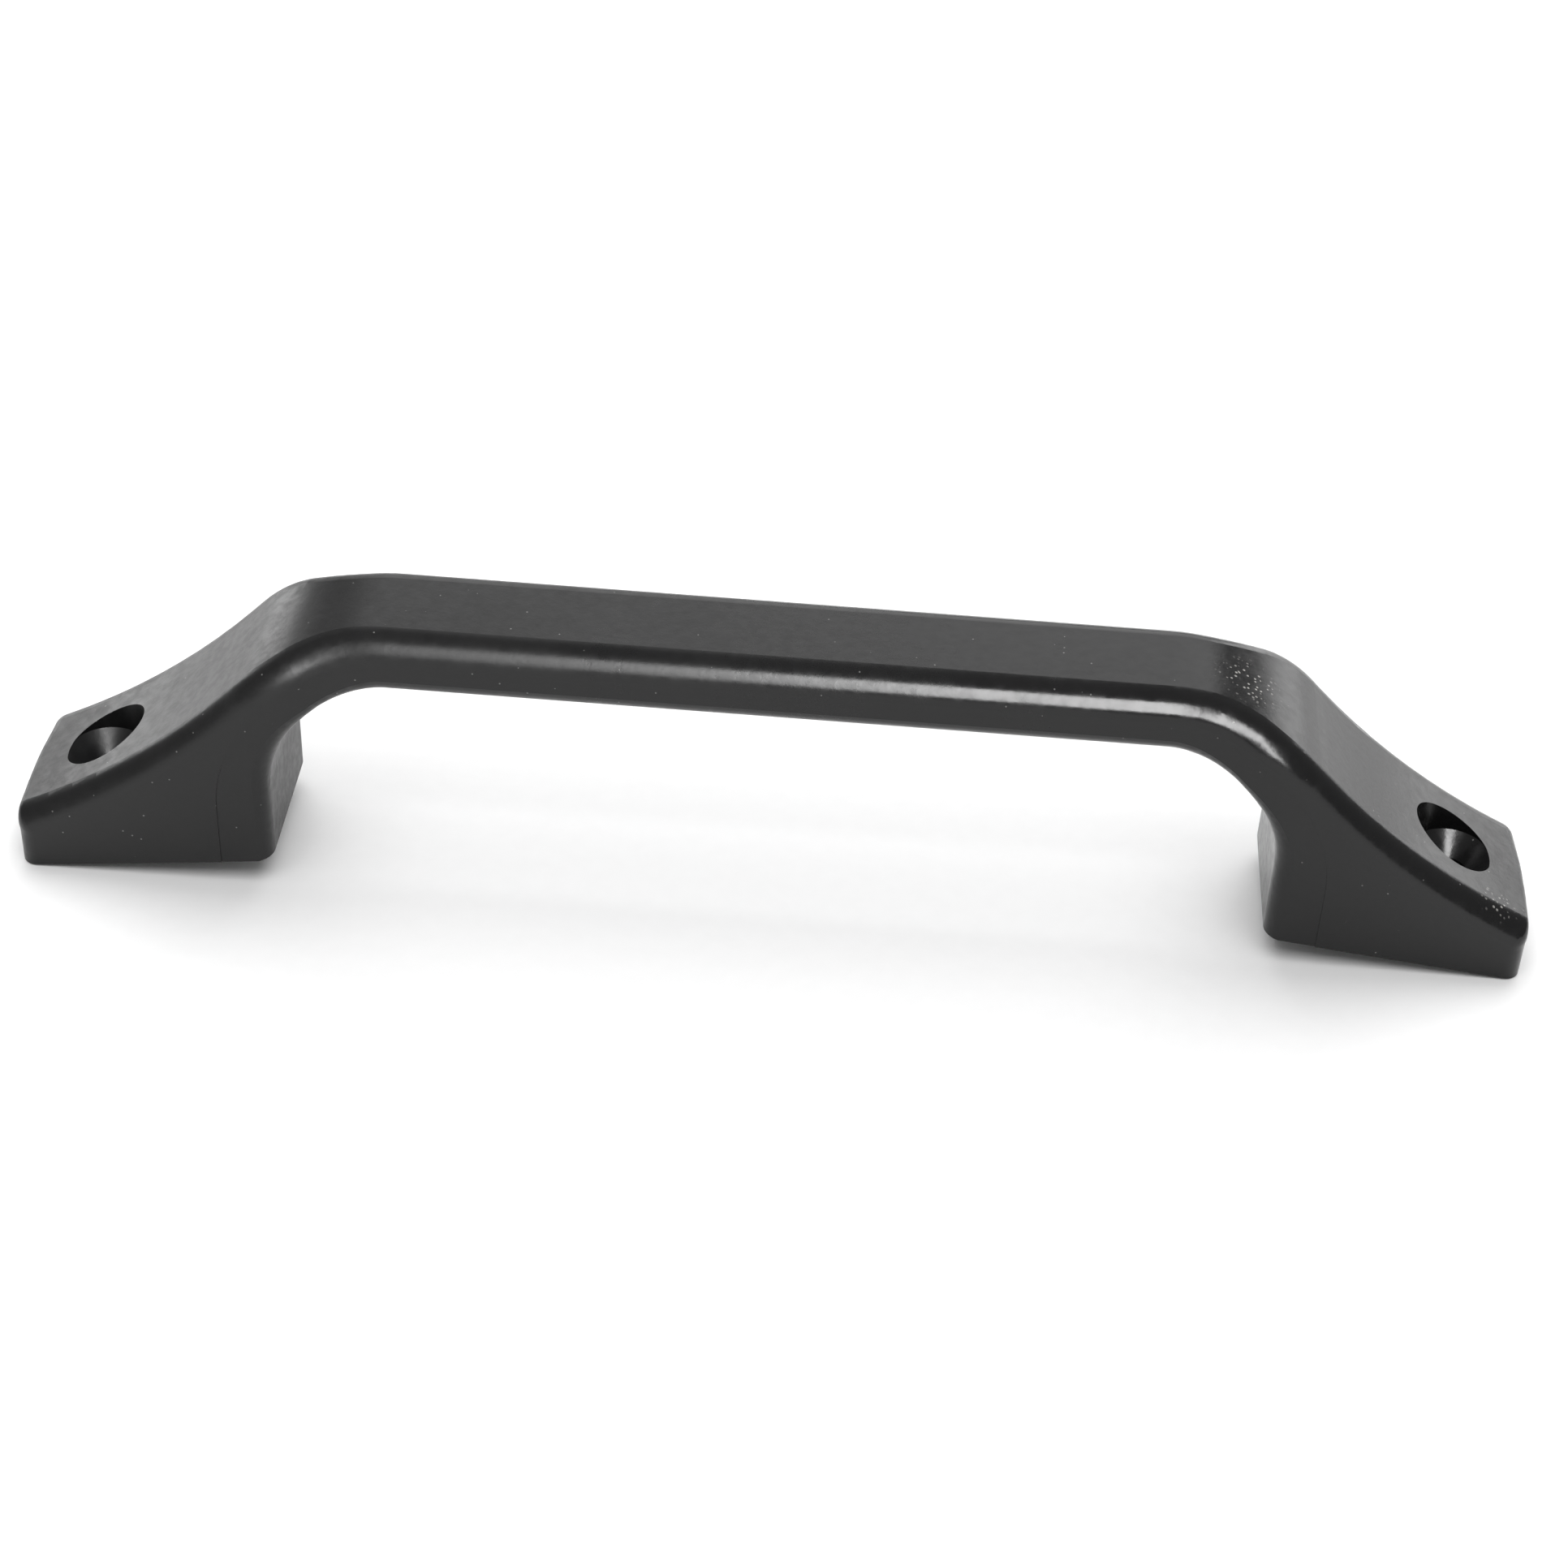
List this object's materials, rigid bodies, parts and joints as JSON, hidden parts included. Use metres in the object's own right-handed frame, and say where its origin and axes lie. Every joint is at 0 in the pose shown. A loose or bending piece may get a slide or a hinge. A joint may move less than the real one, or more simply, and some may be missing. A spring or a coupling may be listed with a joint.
{
  "type": "grab handle",
  "caption": "Straight rounded grab bar on two S-curved arms that flare into block feet, each with a recessed countersunk screw hole.",
  "frame": {"origin": "midway between the two screw holes, at the height of the lowest edges of the feet, where the handle meets a flat panel", "axes": "+X along the bar, +Y across it, +Z away from the panel; the handle is symmetric about the XZ and YZ planes"},
  "size_m": [0.245, 0.0292, 0.0478],
  "materials": {
    "black_plastic": "semi-gloss black with fine scuffs"
  },
  "bodies": {
    "root": {"handle_moulding": "black_plastic"}
  },
  "joints": []
}
